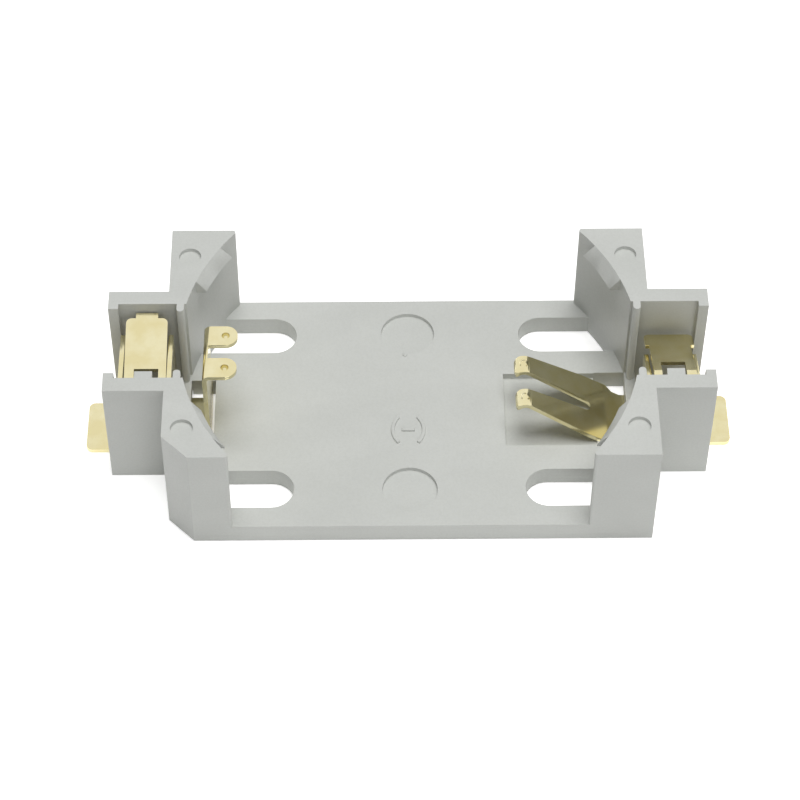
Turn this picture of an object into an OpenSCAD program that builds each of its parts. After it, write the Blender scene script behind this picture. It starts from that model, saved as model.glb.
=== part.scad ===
// Surface-mount holder for one coin cell: a moulded frame with four snap-hook arms,
// and a gold-plated spring contact folded from strip in each of its two end blocks.
// Millimetres, +Z up. X runs along the holder, from the positive end to the negative end.
// The origin is the centre of the underside, which sits on the circuit board.

/* [Cell] */
// Diameter of the coin cell
cell_d = 24.5; // [22:0.1:27]
// Thickness of the coin cell
cell_h = 5; // [4:0.1:7]
// Gap between the cell's rim and the curved walls
cell_gap = 0.05; // [0.05:0.05:0.3]

/* [Base plate] */
// Width of the holder, front to back
base_w = 16; // [15:0.1:18]
// Thickness of the base plate
base_t = 1.2; // [0.9:0.05:2]
// Distance from the centre to the round ends of the four slots
slot_end_x = 6.25; // [5:0.05:8]
// Polarity corner cut from the arm at the positive end
key_corner = 1.4; // [0.5:0.1:2]
// Depth of the hollow below the spring fingers
hollow_d = 0.4; // [0.2:0.05:0.6]
// Gap between the spring fingers and the edges of the hollow
hollow_gap = 0.5; // [0.2:0.05:0.8]

/* [Arms and snap hooks] */
// Thinnest wall behind the cell's rim, which sets the outer sides of the arms
arm_wall = 0.7; // [0.5:0.05:1.2]
// Rounding of each arm's inner corner
arm_round = 0.15; // [0.1:0.05:0.5]
// Length of each snap hook, front to back
hook_l = 2.5; // [1.8:0.1:2.8]
// Distance from the hook to the front or back edge of the holder
hook_inset = 1.3; // [1:0.05:1.6]
// How far the hook reaches over the cell
hook_out = 0.5; // [0.3:0.05:0.8]
// Height of the hook
hook_h = 0.9; // [0.6:0.05:1.5]
// Height of the blunt nose of the hook
hook_nose = 0.12; // [0.05:0.01:0.3]
// Gap between the cell's top and the hook
hook_gap = 0.1; // [0.05:0.05:0.3]

/* [End blocks] */
// How far each end block reaches beyond the curved walls
block_l = 3.95; // [3.7:0.05:5]
// Width of the end blocks, front to back
block_w = 7; // [6.6:0.1:7.6]
// Thickness of the end blocks' front and back walls
block_wall = 0.9; // [0.7:0.05:1.1]
// Thickness of the stubs that are left of the end wall
stub_t = 0.55; // [0.4:0.05:0.8]
// How far the stubs stand in from the front and back walls
stub_out = 0.35; // [0.2:0.05:0.5]
// Length of the tie bar between the end block's walls, along X
bar_l = 0.6; // [0.4:0.05:0.8]
// How far the tie bar's centre lies beyond the curved walls
bar_out = 0.05; // [0:0.05:0.2]
// Width of the guide ribs that stand on the tie bar
rib_w = 0.4; // [0.3:0.05:0.5]
// How far the guide ribs stand in from the front and back walls
rib_out = 0.55; // [0.35:0.05:0.7]
// Width of the key rib that the contact slides up on
key_w = 0.95; // [0.6:0.05:1.2]
// Distance from the end wall's stubs to the key rib
key_stub = 1.1; // [1:0.05:1.3]
// How far the key rib stands in from the front wall
key_out = 0.45; // [0.35:0.05:0.6]

/* [Moulding marks] */
// Radius of the ejector marks on the arms
arm_mark_r = 0.6; // [0.4:0.05:0.8]
// Distance from the arms' outer sides to the centres of those marks
arm_mark_x = 1.05; // [0.9:0.05:1.2]
// Distance from the front and back to the centres of those marks
arm_mark_y = 1.95; // [1.2:0.05:2.4]
// Radius of the two marks on the base plate
base_mark_r = 1.5; // [0.8:0.05:1.6]
// Distance from the centre to the two marks on the base plate
base_mark_y = 5.55; // [4.5:0.05:5.8]
// Depth of the marks
mark_d = 0.1; // [0.05:0.01:0.2]

/* [Contact strip] */
// Thickness of the strip
sheet_t = 0.25; // [0.15:0.01:0.3]
// Width of the strip below the end block
strip_w = 3.5; // [3:0.05:3.7]
// Width of the solder tab
tab_w = 3.3; // [2.4:0.05:3.6]
// How far the solder tab reaches beyond the end block
tab_out = 1.5; // [0.8:0.05:2.5]
// Corner radius of the solder tab
tab_round = 0.35; // [0.1:0.05:0.6]
// Inner radius of the folds
fold_r = 0.15; // [0.1:0.01:0.25]
// Gap between a contact and the housing
play = 0.1; // [0.05:0.01:0.15]

/* [Folded box of a contact] */
// How much narrower the tongue is than the box, on each side
tongue_inset = 0.3; // [0.26:0.01:0.45]
// Gap between the key rib and the slot in the folded wall
key_gap = 0.18; // [0.08:0.01:0.25]
// Height at which the slot for the key rib begins
key_slot_z = 1.2; // [1:0.05:2]
// Length of that slot on the tongue, beyond the key rib
key_slot_l = 1.3; // [0.4:0.05:1.5]
// Inner radius of the tongue's fold
tongue_r = 0.3; // [0.2:0.01:0.4]
// Radius of the tongue's corners
tongue_round = 0.3; // [0.1:0.05:0.5]
// Height of the positive contact's folded wall below the tongue's fold
pos_wall_h = 4.65; // [4.2:0.05:4.9]
// Slope of the positive contact's tongue
pos_tongue_angle = 12; // [5:1:15]
// Height of the negative contact's folded wall below the tongue's fold
neg_wall_h = 5.65; // [5:0.05:5.8]
// Slope of the negative contact's tongue, downwards
neg_tongue_angle = 23; // [15:1:30]
// Length of the positive contact's side wings, front to back
pos_wing_l = 4; // [3:0.1:4.4]
// How much lower those wings are at their free ends than at the wall
pos_wing_drop = 0.1; // [0:0.05:1]
// Length of the negative contact's side wings, front to back
neg_wing_l = 3.1; // [2:0.1:3.4]
// How much lower those wings are at their free ends than at the wall
neg_wing_drop = 0.9; // [0.5:0.05:1.5]
// Height of all wings at the wall
wing_top = 6; // [5.5:0.05:6.2]
// Distance from the negative contact's wings to the wide end of its tongue
flare_gap = 0.4; // [0.3:0.05:0.6]
// Width of the lug on the end of the positive contact's tongue
lug_w = 1.2; // [0.8:0.1:1.4]
// Length of that lug, which sets both tongues back from the wall
lug_l = 0.3; // [0.2:0.05:0.4]
// How far the positive solder tab is set towards the front
pos_tab_shift = 0.25; // [0:0.05:0.3]

/* [Positive contact] */
// How far the leaf stands inside the cell's rim before a cell is fitted
leaf_preload = 1.4; // [1.1:0.05:1.6]
// Width of the leaf
leaf_w = 3.6; // [3.4:0.05:3.8]
// Gap between the leaf's face and the edge of its opening in the base plate
leaf_gap = 0.15; // [0.1:0.05:0.3]
// Gap at each side of the leaf in that opening
leaf_side_gap = 0.4; // [0.2:0.05:0.6]
// How far the leaf's tabs stand below the cell's top before a cell is fitted
lip_preload = 0.2; // [0:0.05:0.3]
// Length of the leaf's tabs
lip_l = 1.6; // [1.3:0.05:2]
// Width of each tab
lip_w = 1.35; // [1.1:0.05:1.5]
// Distance between the centres of the two tabs
lip_pitch = 2.25; // [2:0.05:2.25]

/* [Negative contact] */
// Slope of the spring fingers
finger_angle = 33; // [25:1:36]
// Straight length of the spring fingers
finger_l = 6; // [5:0.1:6.5]
// Width of each finger at its tip
finger_w = 1.15; // [0.9:0.05:1.3]
// Distance between the fingers at their tips
finger_gap = 1.2; // [0.8:0.05:1.3]
// Width of the strip where the fingers begin
root_w = 4.1; // [3.8:0.05:4.4]
// Radius of the round end of the gap between the fingers
crotch_r = 0.35; // [0.2:0.05:0.4]
// Distance from the fingers' fold to the end of the gap between them
crotch_l = 1.9; // [1.5:0.05:3]
// Radius of the corners at the fingers' tips
tip_round = 0.3; // [0.1:0.05:0.45]
// Radius of the curl at the fingers' tips
curl_r = 0.5; // [0.35:0.05:0.7]
// Radius of the contact dimples
dimple_r = 0.22; // [0.12:0.01:0.3]
// Height of the contact dimples
dimple_h = 0.12; // [0.05:0.01:0.18]

/* [Hidden] */
$fn = 64;
// Overlap that keeps joined or cut shapes from sharing a face
eps = 0.02;

// The cell's place
cell_r = cell_d / 2;
cell_top = base_t + cell_h;
wall_r = cell_r + cell_gap;

// The housing's outline
half_w = base_w / 2;
arm_x = wall_r + arm_wall;
block_x = wall_r + block_l;
hook_z = cell_top + hook_gap;
top_z = hook_z + hook_h;
hook_y1 = half_w - hook_inset;
hook_y0 = hook_y1 - hook_l;
pocket_y = block_w / 2 - block_wall;
stub_x = block_x - stub_t;
bar_x = wall_r + bar_out;
bar_x0 = bar_x - bar_l / 2;
bar_x1 = bar_x + bar_l / 2;
bar_z = sheet_t + play;

// The folded box of a contact, between the tie bar and the stubs
box_x0 = bar_x1 + play;
box_x1 = stub_x - play;
box_y = pocket_y - play;
fold_mid = fold_r + sheet_t / 2;
tongue_mid = tongue_r + sheet_t / 2;
tongue_x0 = box_x0 + tongue_inset;
tongue_x1 = box_x1 - tongue_inset;
wide_x0 = box_x0 + play;
wide_x1 = box_x1 - play;
// The tongue's free end stays clear of the back wall
tongue_y = pocket_y - play - lug_l;
wing_z = sheet_t + fold_r + play;
// The key rib and the slot that it stands in
key_x = stub_x - key_stub - key_w / 2;
key_y = key_out - pocket_y;
key_slot = key_w + 2 * key_gap;

// The positive contact's leaf, its face to the cell
leaf_x = cell_r - leaf_preload;
leaf_top = cell_top - lip_preload + sheet_t;
leaf_open_x = leaf_x - leaf_gap;
leaf_open_y = leaf_w / 2 + leaf_side_gap;
lip_x = leaf_x - lip_l;

// The negative contact's fingers
root_r = 0.6;
curl_end = 0.25;
curl_exit = 45;
finger_x = bar_x0 - play;
finger_y = finger_gap / 2 + finger_w;
root_end_x = finger_x - root_r * sin(finger_angle);
root_end_z = sheet_t / 2 + root_r * (1 - cos(finger_angle));
curl_x = root_end_x - finger_l * cos(finger_angle);
crest_x = curl_x - curl_r * sin(finger_angle);
crest_z = root_end_z + finger_l * sin(finger_angle) + curl_r * (1 - cos(finger_angle)) + sheet_t / 2;
tip_x = crest_x - curl_r * sin(curl_exit) - curl_end * cos(curl_exit);
crotch_x = finger_x - crotch_l - crotch_r;
// The hollow ends where the fingers' underside comes down to its floor
floor_z = base_t - hollow_d;
under_z = floor_z + play + sheet_t / 2 / cos(finger_angle);
finger_open_x = root_end_x - (under_z - root_end_z) / tan(finger_angle);
hollow_x = tip_x - hollow_gap;
hollow_y = root_w / 2 + hollow_gap;

// One step of a folded strip: straight for len, then a bend of turn degrees at the radius r.
// Each sample is [x, y, heading]; a bend has one sample for every 15 degrees or less.
function bend(p, a, turn, r) =
    let (n = max(1, ceil(abs(turn) / 15)), s = sign(turn))
    let (c = [p.x - r * s * sin(a), p.y + r * s * cos(a)])
    [for (k = [1 : n]) let (b = a + turn * k / n)
        [c.x + r * s * sin(b), c.y - r * s * cos(b), b]];

function fold(steps, p, a, i = 0) =
    i == len(steps) ? [] :
    let (st = steps[i], q = [p.x + st[0] * cos(a), p.y + st[0] * sin(a)])
    let (arc = st[1] == 0 ? [] : bend(q, a, st[1], st[2]))
    let (last = len(arc) == 0 ? [q.x, q.y, a] : arc[len(arc) - 1])
    concat([[q.x, q.y, a]], arc, fold(steps, [last.x, last.y], last[2], i + 1));

// Outline of a strip seen on edge, folded from p in the direction a
function strip_edge(steps, p, a) =
    let (s = concat([[p.x, p.y, a]], fold(steps, p, a)), h = sheet_t / 2, n = len(s))
    concat([for (v = s) [v.x - h * sin(v[2]), v.y + h * cos(v[2])]],
           [for (i = [n - 1 : -1 : 0]) [s[i].x + h * sin(s[i][2]), s[i].y - h * cos(s[i][2])]]);

// A strip folded in the XZ plane, w wide and centred on Y = 0
module strip_xz(steps, p, a, w) {
    translate([0, w / 2, 0])
        rotate([90, 0, 0])
            linear_extrude(w)
                polygon(strip_edge(steps, p, a));
}

// A strip folded in the YZ plane, from x0 to x0 + w
module strip_yz(steps, p, a, x0, w) {
    translate([x0, 0, 0])
        rotate([90, 0, 90])
            linear_extrude(w)
                polygon(strip_edge(steps, p, a));
}

// A rectangle from [x0, y0] to [x1, y1] whose corners at x1 are rounded
module round_end(x0, x1, y0, y1, r) {
    translate([x0, y0])
        square([x1 - x0 - r, y1 - y0]);
    translate([x0, y0 + r])
        square([x1 - x0, y1 - y0 - 2 * r]);
    for (y = [y0 + r, y1 - r])
        translate([x1 - r, y])
            circle(r);
}

module box(x0, x1, y0, y1, z0, z1) {
    translate([x0, y0, z0])
        cube([x1 - x0, y1 - y0, z1 - z0]);
}

// Draws its children in all four quarters of the holder
module four_corners() {
    for (mx = [0, 1], my = [0, 1])
        mirror([mx, 0, 0])
            mirror([0, my, 0])
                children();
}

// Plan of the arm and of half an end block, in the quarter where X and Y are positive
module quarter_plan() {
    cx = sqrt(pow(wall_r + arm_round, 2) - pow(half_w - arm_round, 2));
    cy = half_w - arm_round;
    k = wall_r / (wall_r + arm_round);
    corner_x = sqrt(pow(wall_r, 2) - pow(half_w, 2));
    difference() {
        union() {
            translate([corner_x - 1, pocket_y])
                square([arm_x - corner_x + 1, half_w - pocket_y]);
            translate([corner_x, pocket_y])
                square([block_x - corner_x, block_wall]);
            translate([stub_x, pocket_y - stub_out])
                square([stub_t, stub_out + eps]);
        }
        circle(wall_r, $fn = 128);
        difference() {
            polygon([[cx, cy], [cx * k, cy * k], [corner_x - 0.5, cy * k],
                     [corner_x - 0.5, half_w + 1], [cx, half_w + 1]]);
            translate([cx, cy])
                circle(arm_round);
        }
    }
}

// The wedge of a snap hook, turned about the cell's axis and cut to the hook's length
module hook() {
    intersection() {
        rotate_extrude($fn = 128)
            polygon([[wall_r + arm_wall / 2, hook_z], [wall_r - hook_out, hook_z],
                     [wall_r - hook_out, hook_z + hook_nose], [wall_r, top_z],
                     [wall_r + arm_wall / 2, top_z]]);
        box(0, arm_x, hook_y0, hook_y1, hook_z - 1, top_z + 1);
    }
}

// Slot that forms the underside of a hook, with a round end towards the centre
module slot() {
    r = hook_l / 2;
    translate([slot_end_x + r, hook_y0 + r, -1])
        cylinder(h = base_t + 1 + eps, r = r);
    intersection() {
        box(slot_end_x + r, arm_x, hook_y0, hook_y1, -1, base_t + eps);
        translate([0, 0, -1])
            cylinder(h = base_t + 2, r = wall_r, $fn = 128);
    }
}

// Guide rib with a round edge, on the tie bar and against the back wall
module guide_rib() {
    tip_y = pocket_y - rib_out + rib_w / 2;
    box(bar_x - rib_w / 2, bar_x + rib_w / 2, tip_y, pocket_y + eps, bar_z, top_z);
    translate([bar_x, tip_y, bar_z])
        cylinder(h = top_z - bar_z, r = rib_w / 2, $fn = 32);
}

// Opening through the base plate for a contact, from x0 out to the end of the block
module contact_opening(x0, y) {
    box(x0, bar_x0, -y, y, -1, base_t + eps);
    box(bar_x0 - eps, bar_x1 + eps, -pocket_y, pocket_y, -1, bar_z);
    box(bar_x1, stub_x, -pocket_y, pocket_y, -1, base_t + eps);
    box(stub_x - eps, block_x + 1, stub_out - pocket_y, pocket_y - stub_out, -1, base_t + eps);
}

module housing() {
    color([0.8, 0.8, 0.77])
    difference() {
        union() {
            // Base plate and the floor of the end blocks
            box(-arm_x, arm_x, -half_w, half_w, 0, base_t);
            box(-block_x, block_x, -block_w / 2, block_w / 2, 0, base_t);
            four_corners() {
                linear_extrude(top_z)
                    quarter_plan();
                hook();
                guide_rib();
            }
            // Key ribs on the front walls
            for (mx = [0, 1])
                mirror([mx, 0, 0])
                    box(key_x - key_w / 2, key_x + key_w / 2, -pocket_y - eps, key_y,
                        key_slot_z + play, top_z);
        }
        four_corners()
            slot();
        mirror([1, 0, 0])
            contact_opening(leaf_open_x, leaf_open_y);
        contact_opening(finger_open_x, pocket_y);
        // Hollow that the spring fingers are pressed down into
        box(hollow_x, bar_x0, -hollow_y, hollow_y, floor_z, base_t + eps);
        // Polarity corner
        translate([-arm_x, -half_w, -1])
            rotate([0, 0, 45])
                cube([key_corner * sqrt(2), key_corner * sqrt(2), 2 * (top_z + 2)], center = true);
        // Ejector marks
        four_corners()
            translate([arm_x - arm_mark_x, half_w - arm_mark_y, top_z - mark_d])
                cylinder(h = 1, r = arm_mark_r);
        for (s = [-1, 1])
            translate([0, s * base_mark_y, base_t - mark_d])
                cylinder(h = 1, r = base_mark_r);
    }
}

// Solder tab, set forward by shift, and the strip below the end block, in to x0
module base_strip(x0, shift) {
    linear_extrude(sheet_t) {
        round_end(stub_x, block_x + tab_out, -tab_w / 2 - shift, tab_w / 2 - shift, tab_round);
        translate([x0, -strip_w / 2])
            square([stub_x + eps - x0, strip_w]);
    }
}

// Folded box that holds the contact in the end block: a wall folded up from the strip's front
// edge, a wing folded back from each side of it, and a tongue folded back from its top.
// The tongue leaves the wall at the angle tilt above the horizontal. Its plan is the child.
module folded_box(wall_h, tilt, wing_l, wing_drop) {
    front_y = sheet_t / 2 - box_y;
    side_l = wing_l - fold_r - sheet_t;
    end_y = wing_l - box_y;
    difference() {
        union() {
            // Wall and tongue, one strip that is folded twice
            intersection() {
                strip_yz([[-fold_mid - front_y, -90, fold_mid],
                          [wall_h, tilt - 90, tongue_mid],
                          [2 * box_y / cos(tilt), 0, 0]],
                         [0, sheet_t / 2], 180, box_x0, box_x1 - box_x0);
                translate([0, 0, -1])
                    linear_extrude(top_z + 1)
                        children();
            }
            // Wings and the wall between them, cut to a slope along the top
            intersection() {
                translate([0, 0, wing_z])
                    linear_extrude(top_z)
                        polygon(strip_edge([[side_l, 90, fold_mid],
                                            [box_x1 - box_x0 - sheet_t - 2 * fold_mid, 90, fold_mid],
                                            [side_l, 0, 0]],
                                           [box_x0 + sheet_t / 2, end_y], -90));
                translate([box_x0 - 1, 0, 0])
                    rotate([90, 0, 90])
                        linear_extrude(box_x1 - box_x0 + 2)
                            polygon([[-box_y - 1, 0], [end_y + 1, 0],
                                     [end_y + 1, wing_top - wing_drop], [end_y, wing_top - wing_drop],
                                     [fold_r + sheet_t - box_y, wing_top],
                                     [fold_r + sheet_t - box_y, wall_h], [-box_y - 1, wall_h]]);
            }
        }
        // Slot for the key rib
        box(key_x - key_slot / 2, key_x + key_slot / 2, -box_y - 1, key_y + key_slot_l,
            key_slot_z, top_z + 1);
    }
}

// Plan of a tongue with rounded corners, from x0 to x1 and from y0 to the free end
module tongue_plan(x0, x1, y0) {
    rotate([0, 0, 90])
        round_end(y0, tongue_y, -x1, -x0, tongue_round);
}

// A round bump of the contact dimples' size, standing on z = 0
module dimple() {
    r = (dimple_r * dimple_r + dimple_h * dimple_h) / 2 / dimple_h;
    intersection() {
        translate([0, 0, dimple_h - r])
            sphere(r, $fn = 32);
        box(-1, 1, -1, 1, -sheet_t / 2, 1);
    }
}

// Drawn for the negative end's side, then mirrored
module positive_contact() {
    fold_x = leaf_x + sheet_t / 2 + fold_mid;
    color([0.85, 0.72, 0.38])
    mirror([1, 0, 0]) {
        base_strip(fold_x, pos_tab_shift);
        folded_box(pos_wall_h, pos_tongue_angle, pos_wing_l, pos_wing_drop) {
            tongue_plan(tongue_x0, tongue_x1, -box_y - eps);
            translate([(tongue_x0 + tongue_x1 - lug_w) / 2, 0])
                square([lug_w, tongue_y + lug_l]);
        }
        // Leaf, with two tabs folded over the cell's edge
        intersection() {
            strip_xz([[eps, -90, fold_mid],
                      [leaf_top - sheet_t - 2 * fold_mid, 90, fold_mid],
                      [lip_l, 0, 0]],
                     [fold_x + eps, sheet_t / 2], 180, leaf_w);
            translate([0, 0, -1])
                linear_extrude(top_z + 1) {
                    translate([leaf_x - eps, -leaf_w / 2 - eps])
                        square([sheet_t + fold_mid + 4 * eps, leaf_w + 2 * eps]);
                    for (s = [-1, 1])
                        mirror([1, 0, 0])
                            round_end(-leaf_x - sheet_t, -lip_x, s * lip_pitch / 2 - lip_w / 2,
                                      s * lip_pitch / 2 + lip_w / 2, lip_w / 2 - eps);
                }
        }
    }
}

// Plan of the spring fingers, from the fold to their tips
module finger_plan() {
    difference() {
        union() {
            polygon([[finger_x + 1, -strip_w / 2], [finger_x + 1, strip_w / 2],
                     [finger_x - root_r, strip_w / 2], [finger_x - crotch_l / 2, root_w / 2],
                     [crotch_x, root_w / 2], [curl_x, finger_y],
                     [curl_x, -finger_y], [crotch_x, -root_w / 2],
                     [finger_x - crotch_l / 2, -root_w / 2], [finger_x - root_r, -strip_w / 2]]);
            for (s = [-1, 1])
                mirror([1, 0, 0])
                    round_end(-curl_x - eps, -tip_x, s * (finger_gap + finger_w) / 2 - finger_w / 2,
                              s * (finger_gap + finger_w) / 2 + finger_w / 2, tip_round);
        }
        translate([crotch_x, 0])
            circle(crotch_r);
        polygon([[crotch_x, -crotch_r], [crotch_x, crotch_r], [curl_x, finger_gap / 2],
                 [tip_x - 1, finger_gap / 2], [tip_x - 1, -finger_gap / 2],
                 [curl_x, -finger_gap / 2]]);
    }
}

module negative_contact() {
    color([0.85, 0.72, 0.38]) {
        base_strip(finger_x, 0);
        folded_box(neg_wall_h, -neg_tongue_angle, neg_wing_l, neg_wing_drop) {
            tongue_plan(tongue_x0, tongue_x1, -box_y - eps);
            tongue_plan(wide_x0, wide_x1, neg_wing_l + flare_gap - box_y);
        }
        // Two spring fingers that rise to the cell, each with a curled tip and a dimple
        intersection() {
            strip_xz([[eps, -finger_angle, root_r],
                      [finger_l, finger_angle + curl_exit, curl_r],
                      [curl_end, 0, 0]],
                     [finger_x + eps, sheet_t / 2], 180, root_w);
            translate([0, 0, -1])
                linear_extrude(top_z + 1)
                    finger_plan();
        }
        for (s = [-1, 1])
            translate([crest_x, s * (finger_gap + finger_w) / 2, crest_z])
                dimple();
    }
}

housing();
positive_contact();
negative_contact();
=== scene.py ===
import math

import bpy
from mathutils import Euler, Matrix, Vector


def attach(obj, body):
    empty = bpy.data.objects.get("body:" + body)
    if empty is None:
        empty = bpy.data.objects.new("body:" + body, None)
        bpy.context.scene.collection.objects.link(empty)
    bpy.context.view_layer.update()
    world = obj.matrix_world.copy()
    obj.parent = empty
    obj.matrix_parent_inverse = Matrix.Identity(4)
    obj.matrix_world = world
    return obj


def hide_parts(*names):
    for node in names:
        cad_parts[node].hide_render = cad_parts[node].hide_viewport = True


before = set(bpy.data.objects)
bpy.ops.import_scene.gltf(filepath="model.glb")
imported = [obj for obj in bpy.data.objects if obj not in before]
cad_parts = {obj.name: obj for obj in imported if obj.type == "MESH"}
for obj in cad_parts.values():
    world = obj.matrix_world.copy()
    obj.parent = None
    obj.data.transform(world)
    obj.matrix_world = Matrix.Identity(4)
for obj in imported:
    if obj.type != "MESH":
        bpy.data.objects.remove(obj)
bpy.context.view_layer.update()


# ---- Housing ---------------------------------------------------------------------------
# The frame that carries the cell: one injection moulding in light grey glass-filled polymer,
# with four arms, their snap hooks, and an open block at each end for a contact. The tool
# leaves every edge softly rounded, and its ejector pins press their marks into the surface.

# Points nearer than this are one point, and faces that turn less than this are one face
SAME_POINT = 0.000001
SAME_FACE = math.radians(0.5)
# The radius that the tool leaves on every edge that turns more than this
HOUSING_EDGE = 0.0001
MOULDED_TURN = math.radians(35)
# Faces that turn less than this are shaded as one curve
SMOOTH_TURN = math.radians(40)
# The heights of the ejector marks' floors, and how much deeper the pins press them
MARK_FLOORS = (0.0011, 0.0071)
SAME_HEIGHT = 0.000005
MARK_SINK = 0.00013


def select_only(piece):
    """Makes a piece the only selected object, and the active one."""
    bpy.ops.object.select_all(action="DESELECT")
    piece.select_set(True)
    bpy.context.view_layer.objects.active = piece


def apply_modifier(piece, name, kind, **settings):
    """Adds a modifier to the active piece and applies it."""
    modifier = piece.modifiers.new(name, kind)
    for key, value in settings.items():
        setattr(modifier, key, value)
    bpy.ops.object.modifier_apply(modifier=modifier.name)


def merged_copy(node, name):
    """A copy of a CAD solid with its loose triangles merged into flat faces."""
    piece = bpy.data.objects.new(name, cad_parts[node].data.copy())
    bpy.context.scene.collection.objects.link(piece)
    select_only(piece)
    bpy.ops.object.mode_set(mode="EDIT")
    bpy.ops.mesh.select_all(action="SELECT")
    bpy.ops.mesh.remove_doubles(threshold=SAME_POINT)
    bpy.ops.mesh.dissolve_limited(angle_limit=SAME_FACE)
    bpy.ops.mesh.select_all(action="DESELECT")
    bpy.ops.object.mode_set(mode="OBJECT")
    return piece


def round_edges(piece, radius, least_turn):
    """Rounds every edge of a piece that turns by more than least_turn."""
    select_only(piece)
    apply_modifier(piece, "rounded edges", "BEVEL", width=radius, segments=2,
                   limit_method="ANGLE", angle_limit=least_turn)


def smooth_shade(piece):
    """Shades rounded faces smooth, and keeps flat faces flat."""
    select_only(piece)
    bpy.ops.object.shade_smooth_by_angle(angle=SMOOTH_TURN)
    apply_modifier(piece, "flat faces stay flat", "WEIGHTED_NORMAL", keep_sharp=True)


housing = merged_copy("housing", "housing_moulding")
for vertex in housing.data.vertices:
    if min(abs(vertex.co.z - floor) for floor in MARK_FLOORS) < SAME_HEIGHT:
        vertex.co.z -= MARK_SINK
round_edges(housing, HOUSING_EDGE, MOULDED_TURN)

# The polarity mark stands on the base plate in front of its centre: a minus bar between two
# brackets, which are cut into the tool and so come out raised. A small pip stands behind.
PLATE_TOP = 0.0012
MARK_CENTRE = Vector((-0.00004, -0.00143, PLATE_TOP))
MARK_RISE = 0.00012
MARK_STROKE = 0.0002
MARK_EDGE = 0.00004
BAR_LENGTH = 0.00072
BRACKET_RADIUS = 0.0014
BRACKET_ANGLE = math.radians(80)
BRACKET_SPREAD = 0.0017
PIP_PLACE = Vector((-0.00016, 0.004, PLATE_TOP))
PIP_RADIUS = 0.00014
PIP_FLATTENING = 0.7


def raised_bar():
    """The minus bar, half of its height sunk into the base plate."""
    bpy.ops.mesh.primitive_cube_add(size=1, location=MARK_CENTRE)
    bar = bpy.context.object
    bar.scale = (BAR_LENGTH, MARK_STROKE, 2 * MARK_RISE)
    bpy.ops.object.transform_apply()
    return bar


def raised_bracket(side):
    """One bracket of the mark: its upright section, spun about the middle of its arc."""
    middle = MARK_CENTRE - Vector((side * (BRACKET_RADIUS - BRACKET_SPREAD / 2), 0, 0))
    turn = Matrix.Rotation(BRACKET_ANGLE / 2, 3, "Z")
    end = middle + turn @ Vector((side * BRACKET_RADIUS, 0, 0))
    bpy.ops.mesh.primitive_plane_add(size=1, location=end,
                                     rotation=(math.pi / 2, 0, BRACKET_ANGLE / 2))
    bracket = bpy.context.object
    bracket.scale = (MARK_STROKE, 2 * MARK_RISE, 1)
    bpy.ops.object.transform_apply()
    bpy.ops.object.mode_set(mode="EDIT")
    bpy.ops.mesh.select_all(action="SELECT")
    bpy.ops.mesh.spin(steps=16, angle=BRACKET_ANGLE, center=middle, axis=(0, 0, 1))
    bpy.ops.mesh.select_all(action="SELECT")
    bpy.ops.mesh.normals_make_consistent(inside=False)
    bpy.ops.object.mode_set(mode="OBJECT")
    return bracket


def raised_pip():
    """A round pip, flattened and sunk to its middle in the base plate."""
    bpy.ops.mesh.primitive_uv_sphere_add(segments=24, ring_count=12, radius=PIP_RADIUS,
                                         location=PIP_PLACE)
    pip = bpy.context.object
    pip.scale.z = PIP_FLATTENING
    bpy.ops.object.transform_apply()
    return pip


bpy.ops.object.select_all(action="DESELECT")
marks = [raised_bar(), raised_bracket(-1), raised_bracket(1)]
for mark in marks:
    round_edges(mark, MARK_EDGE, MOULDED_TURN)
marks.append(raised_pip())
select_only(housing)
for mark in marks:
    mark.select_set(True)
bpy.ops.object.join()
smooth_shade(housing)


def linear(hex_colour):
    """An sRGB hex colour as linear red, green, blue and alpha."""
    levels = [int(hex_colour[start:start + 2], 16) / 255 for start in (1, 3, 5)]
    return [level / 12.92 if level <= 0.04045 else ((level + 0.055) / 1.055) ** 2.4
            for level in levels] + [1]


def add_node(tree, kind, inputs=None, **settings):
    """Adds a shader node with its own settings. inputs gives the value of each of its
    inputs, or the socket that feeds it."""
    node = tree.nodes.new("ShaderNode" + kind)
    for key, value in settings.items():
        setattr(node, key, value)
    for socket, source in (inputs or {}).items():
        if isinstance(source, bpy.types.NodeSocket):
            tree.links.new(source, node.inputs[socket])
        else:
            node.inputs[socket].default_value = source
    return node


# Glass-filled liquid-crystal polymer, moulded: an even matt grey with a faint cloudiness
# where the melt flowed, and a skin of very fine pits.
FLOW_CLOUD = 0.004
FLOW_TONES = ((0.3, "#C3C5C1"), (0.7, "#C9CBC7"))
FIBRE_GRAIN = 0.000125
# How much of the colour is left in the grain's pits, and on the skin between them
GRAIN_SHADES = ((0.35, (0.96, 0.96, 0.955, 1)), (0.6, (1, 1, 1, 1)))
GRAIN_RELIEF = 0.00001

moulded_polymer = bpy.data.materials.new("moulded_glass_filled_polymer")
moulded_polymer.use_nodes = True
tree = moulded_polymer.node_tree
tree.nodes.clear()
place = add_node(tree, "TexCoord").outputs["Object"]
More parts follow.
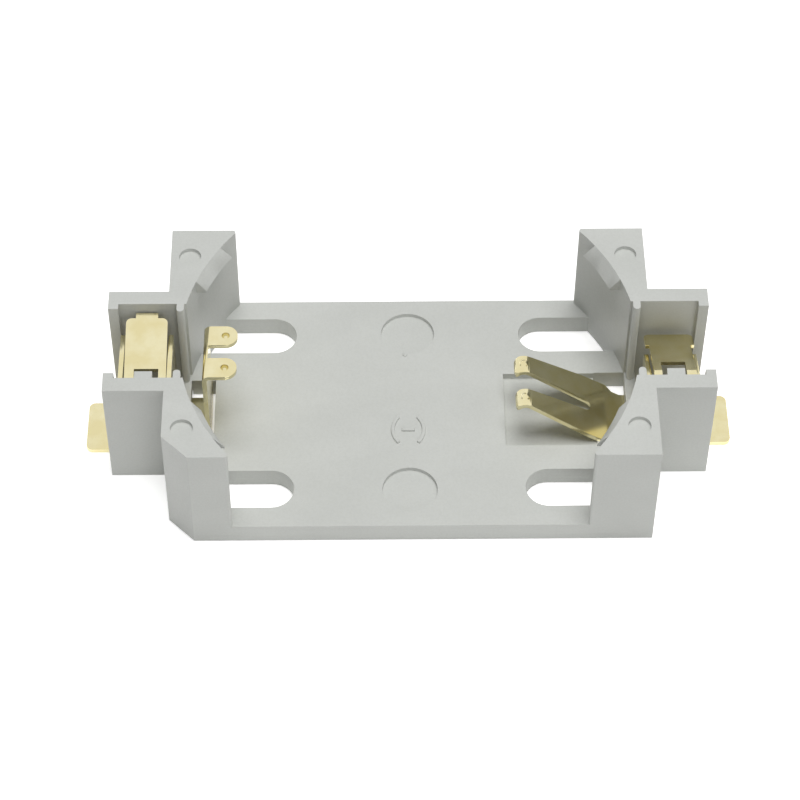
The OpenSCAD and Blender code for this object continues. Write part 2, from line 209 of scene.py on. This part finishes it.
# The clouds are drawn out along the flow
flow = add_node(tree, "Mapping", {"Vector": place, "Scale": (0.6, 1.3, 1.0)}).outputs["Vector"]
clouds = add_node(tree, "TexNoise", {"Vector": flow, "Scale": 1 / FLOW_CLOUD, "Detail": 4.0,
                                     "Roughness": 0.55, "Distortion": 0.4}).outputs["Fac"]
tone = add_node(tree, "ValToRGB", {"Fac": clouds})
for stop, (position, hex_colour) in zip(tone.color_ramp.elements, FLOW_TONES):
    stop.position = position
    stop.color = linear(hex_colour)
grain = add_node(tree, "TexNoise", {"Vector": place, "Scale": 1 / FIBRE_GRAIN, "Detail": 3.0,
                                    "Roughness": 0.6}).outputs["Fac"]
speck = add_node(tree, "ValToRGB", {"Fac": grain})
for stop, (position, shade) in zip(speck.color_ramp.elements, GRAIN_SHADES):
    stop.position = position
    stop.color = shade
colour = add_node(tree, "Mix", {"Factor": 1.0, "A": tone.outputs["Color"],
                                "B": speck.outputs["Color"]},
                  data_type="RGBA", blend_type="MULTIPLY").outputs["Result"]
rough = add_node(tree, "MapRange", {"Value": grain, "From Min": 0.3, "From Max": 0.7,
                                    "To Min": 0.5, "To Max": 0.42}).outputs["Result"]
skin = add_node(tree, "Bump", {"Height": grain, "Strength": 0.12,
                               "Distance": GRAIN_RELIEF}).outputs["Normal"]
surface = add_node(tree, "BsdfPrincipled", {"Base Color": colour, "Roughness": rough,
                                            "IOR": 1.5, "Normal": skin}).outputs["BSDF"]
add_node(tree, "OutputMaterial", {"Surface": surface})

housing.data.materials.clear()
housing.data.materials.append(moulded_polymer)
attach(housing, "root")
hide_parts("housing")


# ---- Contacts --------------------------------------------------------------------------
# Two springs stamped and folded from copper-alloy strip, plated with gold and pushed into
# the housing's end blocks. The shears leave the edges a little soft, and the rolls leave
# faint lines along the strip.

CONTACT_EDGE = 0.00003
# Only the sheared edges turn this much, so folds and dimples stay as they were pressed
SHEARED_TURN = math.radians(62)

positive = merged_copy("positive_contact", "positive_spring")
negative = merged_copy("negative_contact", "negative_spring")
for spring in (positive, negative):
    round_edges(spring, CONTACT_EDGE, SHEARED_TURN)

# A punch presses a small pit into each of the positive spring's two tabs, and the metal
# comes out below as the pip that touches the cell.
TAB_TOP = 0.00625
TAB_SHEET = 0.00025
TAB_PITCH = 0.00225
PIT_X = -0.0099
PIT_RADIUS = 0.00023
PIT_DEPTH = 0.0003


def punch(side, top, operation):
    """Cuts or adds the punch's round end, down to its depth below the height top."""
    place = (PIT_X, side * TAB_PITCH / 2, top - PIT_DEPTH + PIT_RADIUS)
    bpy.ops.mesh.primitive_uv_sphere_add(segments=32, ring_count=16, radius=PIT_RADIUS,
                                         location=place)
    bpy.ops.object.transform_apply()
    tool = bpy.context.object
    select_only(positive)
    apply_modifier(positive, "punched pit", "BOOLEAN", operation=operation, object=tool,
                   solver="EXACT")
    bpy.data.objects.remove(tool)


for side in (-1, 1):
    punch(side, TAB_TOP - TAB_SHEET, "UNION")
    punch(side, TAB_TOP, "DIFFERENCE")
for spring in (positive, negative):
    smooth_shade(spring)

# Gold plate over rolled strip: a pale metal, satin, with faint clouds about 1.1 mm across
# and fine rolling lines that run several mm along the strip.
PLATING_TONES = ((0.35, "#E3D8A8"), (0.65, "#EAE2BA"))
LINE_PITCH = 0.00005
LINE_RELIEF = 0.000004

gold_plating = bpy.data.materials.new("gold_plated_strip")
gold_plating.use_nodes = True
tree = gold_plating.node_tree
tree.nodes.clear()
place = add_node(tree, "TexCoord").outputs["Object"]
clouds = add_node(tree, "TexNoise", {"Vector": place, "Scale": 900.0,
                                     "Detail": 3.0}).outputs["Fac"]
tone = add_node(tree, "ValToRGB", {"Fac": clouds})
for stop, (position, hex_colour) in zip(tone.color_ramp.elements, PLATING_TONES):
    stop.position = position
    stop.color = linear(hex_colour)
rough = add_node(tree, "MapRange", {"Value": clouds, "From Min": 0.3, "From Max": 0.7,
                                    "To Min": 0.13, "To Max": 0.2}).outputs["Result"]
along = add_node(tree, "Mapping", {"Vector": place,
                                   "Scale": (0.03, 1.0, 0.2)}).outputs["Vector"]
lines = add_node(tree, "TexNoise", {"Vector": along, "Scale": 1 / LINE_PITCH,
                                    "Detail": 2.0}).outputs["Fac"]
rolled = add_node(tree, "Bump", {"Height": lines, "Strength": 0.08,
                                 "Distance": LINE_RELIEF}).outputs["Normal"]
surface = add_node(tree, "BsdfPrincipled", {"Base Color": tone.outputs["Color"],
                                            "Metallic": 1.0, "Roughness": rough,
                                            "Normal": rolled}).outputs["BSDF"]
add_node(tree, "OutputMaterial", {"Surface": surface})

for spring, node, slot in ((positive, "positive_contact", "positive_gold"),
                           (negative, "negative_contact", "negative_gold")):
    spring.data.materials.clear()
    spring.data.materials.append(gold_plating)
    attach(spring, "root")
    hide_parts(node)


# ---- Bench, light and camera -----------------------------------------------------------
# A plain white bench and backdrop, a large square softbox above, and a dimmer card at the
# front that lights the faces turned to the viewer. The viewer and the metal see bench and
# backdrop as white, and the holder gets only a little light from them.

# The bench lies this far below the holder's flat underside, so that they share no plane
BENCH_GAP = 0.00002
BENCH_WIDTH = 4
BENCH_LIFT = 0.45
FILL_LIGHT = 0.12
WHITE = (1, 1, 1, 1)


def seen_directly(tree):
    """1 for camera, glossy and transmission rays, and 0 for the rest."""
    rays = add_node(tree, "LightPath").outputs
    both = add_node(tree, "Math", {0: rays["Is Camera Ray"], 1: rays["Is Glossy Ray"]},
                    operation="MAXIMUM").outputs[0]
    return add_node(tree, "Math", {0: both, 1: rays["Is Transmission Ray"]},
                    operation="MAXIMUM").outputs[0]


bpy.ops.object.select_all(action="DESELECT")
bpy.ops.mesh.primitive_plane_add(size=BENCH_WIDTH, location=(0, 0, -BENCH_GAP))
bench = bpy.context.object
bench.name = "bench"
white_bench = bpy.data.materials.new("white_bench")
white_bench.use_nodes = True
tree = white_bench.node_tree
tree.nodes.clear()
paper = add_node(tree, "BsdfDiffuse", {"Color": linear("#FDFDFC")}).outputs["BSDF"]
lift = add_node(tree, "Emission", {"Color": WHITE, "Strength": BENCH_LIFT}).outputs["Emission"]
lifted = add_node(tree, "AddShader", {0: paper, 1: lift}).outputs["Shader"]
shown = add_node(tree, "MixShader", {0: seen_directly(tree), 1: paper,
                                     2: lifted}).outputs["Shader"]
add_node(tree, "OutputMaterial", {"Surface": shown})
bench.data.materials.append(white_bench)

studio = bpy.data.worlds.new("studio")
bpy.context.scene.world = studio
studio.use_nodes = True
tree = studio.node_tree
tree.nodes.clear()
fill = add_node(tree, "Background", {"Color": WHITE, "Strength": FILL_LIGHT}).outputs[0]
backdrop = add_node(tree, "Background", {"Color": WHITE, "Strength": 1.0}).outputs[0]
shown = add_node(tree, "MixShader", {0: seen_directly(tree), 1: fill,
                                     2: backdrop}).outputs["Shader"]
add_node(tree, "OutputWorld", {"Surface": shown})


def area_lamp(name, size, power, place):
    """A square lamp turned to the holder, which the metal doesn't mirror."""
    panel = bpy.data.lights.new(name, "AREA")
    panel.shape = "SQUARE"
    panel.size = size
    panel.energy = power
    lamp = bpy.data.objects.new(name, panel)
    lamp.location = place
    lamp.rotation_euler = Vector(place).to_track_quat("Z", "Y").to_euler()
    lamp.visible_glossy = False
    bpy.context.scene.collection.objects.link(lamp)


area_lamp("softbox", size=0.24, power=1.28, place=(0.03, 0.01, 0.37))
area_lamp("front_card", size=0.25, power=0.35, place=(0.1, -0.4, 0.1))

# The camera stands in front and above, and looks down at about 39 degrees from the vertical
CAMERA_PLACE = (-0.001908, -0.094408, 0.116650)
CAMERA_TILT = math.radians(38.99)
CAMERA_HEADING = math.radians(-1.158)
CAMERA_ROLL = math.radians(0.538)

lens = bpy.data.cameras.new("camera")
lens.sensor_width = 36
lens.lens = 121.51
lens.shift_x = -0.01073
lens.shift_y = 0.0294
lens.clip_start = 0.005
camera = bpy.data.objects.new("camera", lens)
aim = Euler((CAMERA_TILT, 0, CAMERA_HEADING)).to_matrix() @ Matrix.Rotation(CAMERA_ROLL, 3, "Z")
camera.matrix_world = Matrix.Translation(CAMERA_PLACE) @ aim.to_4x4()
bpy.context.scene.collection.objects.link(camera)
bpy.context.scene.camera = camera
bpy.context.scene.view_settings.view_transform = "Standard"
